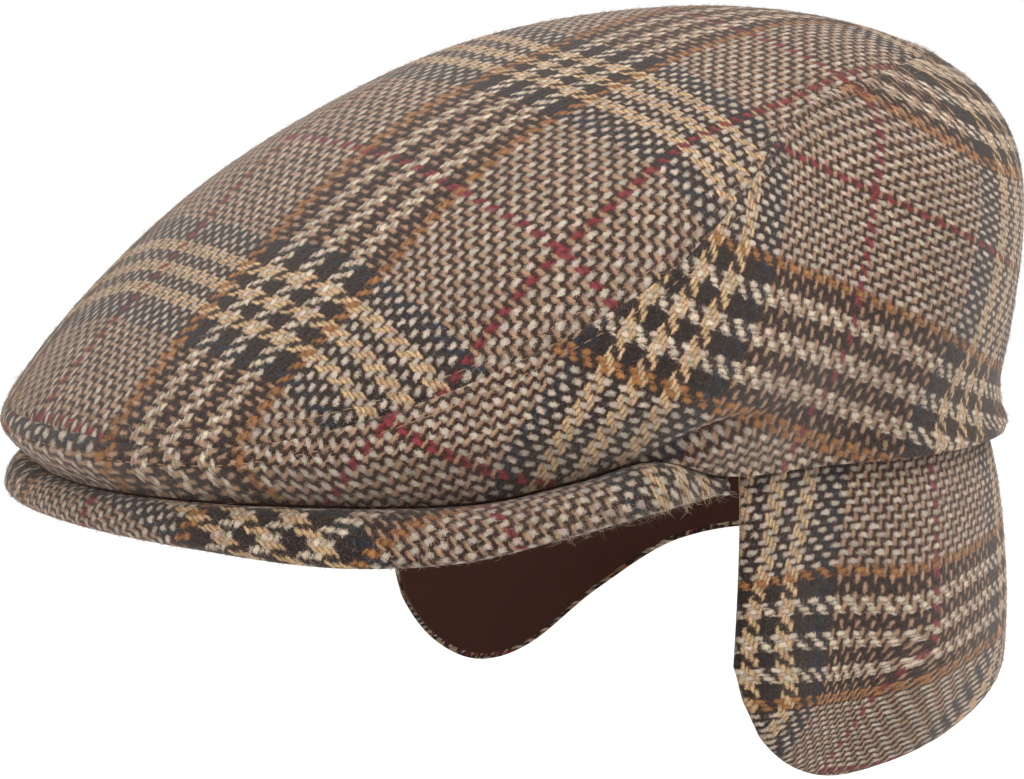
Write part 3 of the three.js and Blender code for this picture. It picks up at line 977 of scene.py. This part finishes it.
def top_panel(rng):
    """Top of the crown, from the seam in to the apex. Gives the line of its stitches."""
    angle = np.linspace(0, 360, TOP_COLUMNS, endpoint=False)[:, None]
    start = seam_level(angle)
    start = start + half_gap_level(angle, start)
    near_seam = np.linspace(0, TOP_SEAM_SHARE, TOP_SEAM_ROWS, endpoint=False)
    share = np.concatenate([near_seam, np.linspace(TOP_SEAM_SHARE, 1, TOP_ROWS)])
    base = upper_crown(angle, start + (1 - start) * share)
    normals = grid_normals(base, True)
    distance = climb(base)
    outer = base + normals * (seam_relief(distance) + soft_relief(base))[..., None]
    inner = base - normals * CROWN_CLOTH
    x, y = base[..., 0], base[..., 1]
    threads = np.stack([-thread_chart(TOP_CROSSWISE)(x, y), thread_chart(TOP_LENGTHWISE)(x, y)], -1)
    wall_piece("crown_top", outer, inner, threads, True, [TWEED, LINING], "top_panel")
    fibre_piece("crown_top_fuzz", outer[:, :-1], threads[:, :-1], True, "top", rng)
    seam = np.s_[:, :SEAM_FIBRE_ROWS]
    fibre_piece("crown_top_seam_fuzz", outer[seam], threads[seam], True, "top seam", rng)
    return row_at(outer, distance, STITCH_LINE), row_at(normals, distance, STITCH_LINE)


def side_panel(side, name, node, rng):
    """Side of the crown, left for 1 and right for -1. Gives the line of its stitches."""
    front = math.degrees(SEAM_GAP / 2 / CROWN["hem_radius"][0])
    back = 180 - math.degrees(SEAM_GAP / 2 / CROWN["hem_radius"][-1])
    turn = np.linspace(front, back, SIDE_COLUMNS)
    angle = (side * (turn if side > 0 else turn[::-1]))[:, None]
    seam = seam_level(angle)
    end = seam - half_gap_level(angle, seam)
    low = lower_crown(angle, np.linspace(0, 1, SIDE_LOWER_ROWS, endpoint=False))
    rise = np.linspace(SIDE_UPPER_START, SIDE_SEAM_SHARE, SIDE_UPPER_ROWS, endpoint=False)
    rise = np.concatenate([rise, np.linspace(SIDE_SEAM_SHARE, 1, SIDE_SEAM_ROWS)])
    base = np.concatenate([low, upper_crown(angle, end * rise)], axis=1)
    height = climb(base)
    over_peak = np.clip((PEAK_END_ANGLE - side_angle(angle)) / HEM_SINK_FADE, 0, 1)
    base[..., 2] -= HEM_SINK * over_peak * np.clip(1 - height / HEM_SINK_HEIGHT, 0, 1)
    normals = grid_normals(base, False)
    distance = height[:, -1:] - height
    relief = seam_relief(distance) + hem_relief(angle, height) + fold_relief(angle, base)
    relief = relief + soft_relief(base) * np.clip(height / SWELL_HEM_FADE, 0, 1)
    outer = base + normals * relief[..., None]
    inner = base - normals * CROWN_CLOTH
    turn = side_angle(angle_of(base))
    z = base[..., 2]
    lengthwise = thread_chart(SIDE_LENGTHWISE, SIDE_ARC)
    along = lengthwise(turn, z)
    if side < 0:
        along = 2 * lengthwise(0.0, CENTRE_FRONT_HEIGHT) - along
    threads = np.stack([thread_chart(SIDE_CROSSWISE, SIDE_ARC)(turn, z), along], -1)
    wall_piece(name, outer, inner, threads, False, [TWEED, LINING], node)
    fibre_piece(name + "_fuzz", outer, threads, False, "side", rng)
    at_seam = np.s_[:, -SEAM_FIBRE_ROWS:]
    fibre_piece(name + "_seam_fuzz", outer[at_seam], threads[at_seam], False, "side seam", rng)
    at_hem = np.s_[:, :HEM_FIBRE_ROWS]
    fibre_piece(name + "_hem_fuzz", outer[at_hem], threads[at_hem], False, "hem", rng)
    from_seam = distance[:, ::-1]
    line = row_at(outer[:, ::-1], from_seam, STITCH_LINE)
    return line, row_at(normals[:, ::-1], from_seam, STITCH_LINE)


def head_radius(angle):
    """Radius of the head opening, which is an ellipse."""
    turn = np.radians(angle)
    return 1 / np.hypot(np.sin(turn) / HEAD_HALF_WIDTH, np.cos(turn) / HEAD_HALF_LENGTH)


def peak_rings(angle):
    """Cuts through the peak as radius and height: out along the top, round the edge and back below."""
    side = side_angle(angle)
    half = read_column(PEAK, "thickness", side) / 2
    level = hem_height(side) - PEAK_GAP - half
    edge_radius = read_column(PEAK, "edge_radius", side)
    bend_limit = edge_radius - half - PEAK_LIP_LEAST
    bend_radius = np.minimum(crown("hem_radius", side) + PEAK_BEND_PAST_HEM, bend_limit)
    start = np.stack([head_radius(side), level], -1)
    bend = np.stack([bend_radius, level], -1)
    end = np.stack([edge_radius - half, read_column(PEAK, "edge_height", side) + half], -1)
    corner = np.stack([end[:, 0], level], -1)
    control = PEAK_CORNER_PULL * corner + (1 - PEAK_CORNER_PULL) * (bend + end) / 2
    middle = [start + share * (bend - start) for share in PEAK_HIDDEN_SHARES]
    for t in np.linspace(0, 1, PEAK_CURVE_ROWS):
        middle.append((1 - t) ** 2 * bend + 2 * t * (1 - t) * control + t**2 * end)
    middle = np.stack(middle, 1)
    run = np.gradient(middle, axis=1)
    run /= np.linalg.norm(run, axis=-1, keepdims=True)
    across = np.stack([-run[..., 1], run[..., 0]], -1) * half[:, None, None]
    last = np.arctan2(run[:, -1, 1], run[:, -1, 0])
    nose = []
    for turn in np.radians(np.linspace(PEAK_NOSE_TURN, -PEAK_NOSE_TURN, PEAK_NOSE_ROWS)):
        nose.append(end + half[:, None] * np.stack([np.cos(last + turn), np.sin(last + turn)], -1))
    return np.concatenate([middle + across, np.stack(nose, 1), (middle - across)[:, ::-1]], 1)


def peak_threads(angle, ring):
    """Thread coordinates on the peak: its cloth runs on round the edge and is mirrored below."""
    walked = climb(ring)
    fold = walked[:, PEAK_NOSE_END][:, None]
    unrolled = ring[:, :1, 0] + fold - np.abs(walked - fold)
    spread = at_angle(angle[:, None], unrolled, 0.0)
    ahead = PEAK_CROSSWISE_MIDDLE - spread[..., 1]
    pitch = np.where(ahead > 0, PEAK_PITCH_FRONT, PEAK_PITCH_BACK)
    beside = spread[..., 0] - PEAK_LENGTHWISE_MIDDLE
    return np.stack([ahead / pitch, beside / PEAK_PITCH_ACROSS], -1)


def peak_piece(rng):
    """Curved plate covered in cloth, with worn fibres at both ends."""
    angle = np.linspace(-PEAK_END_ANGLE, PEAK_END_ANGLE, PEAK_COLUMNS)
    ring = peak_rings(angle)
    points = at_angle(angle[:, None], ring[..., 0], ring[..., 1])
    threads = peak_threads(angle, ring)
    mesh = new_mesh("peak_cloth", points, tube_faces((1, *points.shape[:2])), threads, [TWEED])
    add_piece("peak_cloth", mesh, ["peak"])
    shown = np.s_[:, PEAK_NOSE_END:PEAK_HIDDEN_ROWS - 1:-1]
    fibre_piece("peak_fuzz", points[shown], threads[shown], False, "peak", rng)
    edge = np.s_[:, PEAK_NOSE_END:PEAK_TOP_ROWS - PEAK_EDGE_ROWS - 1:-1]
    for name, worn in (("left", angle > PEAK_WORN_ANGLE), ("right", angle < -PEAK_WORN_ANGLE)):
        grid = points[worn][edge]
        fibre_piece(f"peak_end_fuzz_{name}", grid, threads[worn][edge], False, "worn end", rng)


def flap_face(around, up):
    """Outer face of the flap, from one front edge round the back, and from the lower edge up."""
    hanging = np.clip(up / FLAP_BEND_LEVEL, 0, 1)
    tucked = np.maximum(0, up - FLAP_BEND_LEVEL) / (1 - FLAP_BEND_LEVEL)
    half_span = 180 - FLAP_FRONT_ANGLE + FLAP_FRONT_LEAN * (1 - hanging)
    angle = 180 + (2 * around - 1) * half_span
    turn = side_angle(angle)
    side = np.clip(turn, FLAP_FRONT_ANGLE, 180)
    left = read_column(FLAP, "left_drop", turn)
    drop = np.where(angle < 180, left, read_column(FLAP, "right_drop", turn))
    depth = (drop - FLAP_BEND_DROP) * (1 - hanging)
    height = -FLAP_BEND_DROP - depth + (FLAP_TUCK + FLAP_BEND_DROP) * tucked
    forward = np.maximum(0, SIDEWAYS - side) / (SIDEWAYS - FLAP_FRONT_ANGLE)
    inside_hem = crown("hem_radius", side) - CROWN_CLOTH - 2 * PIECE_GAP
    stand_out = read_column(FLAP, "stand_out", side) * FLAP_FLARE * depth / (depth + FLAP_FLARE_DEPTH)
    low = np.maximum(0, 1 - (height + drop) / FLAP_CURL_ZONE)
    curl = read_column(FLAP, "curl", side) * low**2
    radius = inside_hem - FLAP_FRONT_INSET * forward**2 + stand_out - curl
    return at_angle(angle, radius, height)


def flap_grid(inset):
    """Points on the flap's face, kept back from its front edges and lower edge by the inset."""
    even = np.linspace(0, 1, FLAP_COLUMNS)
    spread = even - FLAP_END_DENSITY * np.sin(2 * math.pi * even) / (2 * math.pi)
    span = 2 * math.radians(180 - FLAP_FRONT_ANGLE) * HEAD_HALF_WIDTH
    around = (inset / span + (1 - 2 * inset / span) * spread)[:, None]
    length = np.linalg.norm(flap_face(around, 0.0) - flap_face(around, FLAP_BEND_LEVEL), axis=-1)
    lowest = FLAP_BEND_LEVEL * inset / length
    hanging = lowest + (FLAP_BEND_LEVEL - lowest) * np.linspace(0, 1, FLAP_ROWS)
    tucked = np.broadcast_to(FLAP_TUCK_LEVELS, (FLAP_COLUMNS, len(FLAP_TUCK_LEVELS)))
    return flap_face(around, np.concatenate([hanging, tucked], axis=1))


def flap_threads(points):
    """Thread coordinates on the flap. The crosswise set is mirrored past the centre back."""
    turn = angle_of(points) % 360
    side = side_angle(turn)
    height = points[..., 2]
    crosswise = thread_chart(FLAP_CROSSWISE, FLAP_ARC, FLAP_SMOOTHING)
    near = crosswise(side, height)
    middle = crosswise(180.0, CENTRE_BACK_HEIGHT)
    across = np.where(turn > 180, 2 * middle - near, near)
    return np.stack([across, thread_chart(FLAP_LENGTHWISE, FLAP_ARC, FLAP_SMOOTHING)(side, height)], -1)


def ear_flap(rng):
    """Flap with a rounded edge."""
    base = flap_grid(0.0)
    normals = grid_normals(base, False)
    from_below = climb(base)
    from_front = climb(base.transpose(1, 0, 2)).T
    from_front = np.minimum(from_front, from_front[-1:] - from_front)
    from_edge = np.minimum(from_below, from_front)
    rounding = FLAP_EDGE_ROUND * np.clip(1 - from_edge / FLAP_EDGE_WIDTH, 0, 1) ** 2
    outer = base - normals * rounding[..., None]
    inner = base - normals * FLAP_CLOTH
    threads = flap_threads(base)
    wall_piece("flap_cloth", outer, inner, threads, False, [TWEED], "ear_flap")
    below_hem = np.s_[:, :FLAP_FIBRE_ROWS]
    fibre_piece("flap_fuzz", outer[below_hem], threads[below_hem], False, "flap", rng)


def flap_lining():
    """Lining inside the flap, a little short of its edge."""
    base = flap_grid(LINING_INSET)
    normals = grid_normals(base, False)
    start = FLAP_CLOTH + PIECE_GAP
    face = base - normals * start
    back = base - normals * (start + LINING_CLOTH)
    no_threads = np.zeros((*base.shape[:2], 2))
    wall_piece("flap_lining", face, back, no_threads, False, [LINING], "ear_flap_lining")


# Stage

def floor():
    """Wide pale floor below the cap."""
    mesh = bpy.data.meshes.new("floor")
    low = -FLOOR_HALF_SIZE
    high = FLOOR_HALF_SIZE
    corners = [(low, low), (high, low), (high, high), (low, high)]
    mesh.from_pydata([(x, y, FLOOR_HEIGHT) for x, y in corners], [], [(0, 1, 2, 3)])
    material, graph = new_material("pale_floor")
    finish_material(graph, FLOOR_COLOUR, FLOOR_FINISH)
    mesh.materials.append(material)
    plane = bpy.data.objects.new("floor", mesh)
    bpy.context.collection.objects.link(plane)


def add_aimed(name, data, azimuth, elevation, distance):
    """Lamp or camera that stands at a distance from the aim and looks at it."""
    turn = math.radians(azimuth)
    rise = math.radians(elevation)
    way = Vector((math.sin(turn) * math.cos(rise), -math.cos(turn) * math.cos(rise), math.sin(rise)))
    thing = bpy.data.objects.new(name, data)
    thing.location = Vector(VIEW_AIM) + distance * way
    thing.rotation_euler = (-way).to_track_quat("-Z", "Y").to_euler()
    bpy.context.collection.objects.link(thing)
    return thing


def lights():
    world = bpy.data.worlds.new("studio")
    world.use_nodes = True
    background = world.node_tree.nodes["Background"]
    background.inputs["Color"].default_value = WHITE
    background.inputs["Strength"].default_value = SURROUNDINGS
    bpy.context.scene.world = world
    overhead = bpy.data.lights.new("overhead", "SUN")
    overhead.energy = OVERHEAD["power"]
    overhead.angle = math.radians(OVERHEAD["spread"])
    add_aimed("overhead", overhead, OVERHEAD["azimuth"], OVERHEAD["elevation"], LAMP_DISTANCE)
    for name, lamp in LAMPS.items():
        soft = bpy.data.lights.new(name, "AREA")
        soft.shape = "DISK"
        soft.size = LAMP_SIZE
        soft.energy = lamp["power"]
        add_aimed(name, soft, lamp["azimuth"], lamp["elevation"], LAMP_DISTANCE)


def camera():
    data = bpy.data.cameras.new("camera")
    data.lens = VIEW_LENS
    data.sensor_width = VIEW_SENSOR
    data.sensor_fit = "HORIZONTAL"
    data.clip_start = VIEW_NEAREST
    scene = bpy.context.scene
    scene.camera = add_aimed("camera", data, VIEW_AZIMUTH, VIEW_ELEVATION, VIEW_DISTANCE)


def dress():
    """Makes every piece of the cap."""
    rng = np.random.default_rng(SEED)
    top_line = top_panel(rng)
    left_line = side_panel(1, "crown_side_left", "side_panel_left", rng)
    right_line = side_panel(-1, "crown_side_right", "side_panel_right", rng)
    peak_piece(rng)
    ear_flap(rng)
    flap_lining()
    stitch_piece("seam_stitches", [top_line, left_line, right_line])


camera()
dress()
floor()
lights()
bpy.context.scene.view_settings.view_transform = "Standard"
bpy.context.view_layer.update()
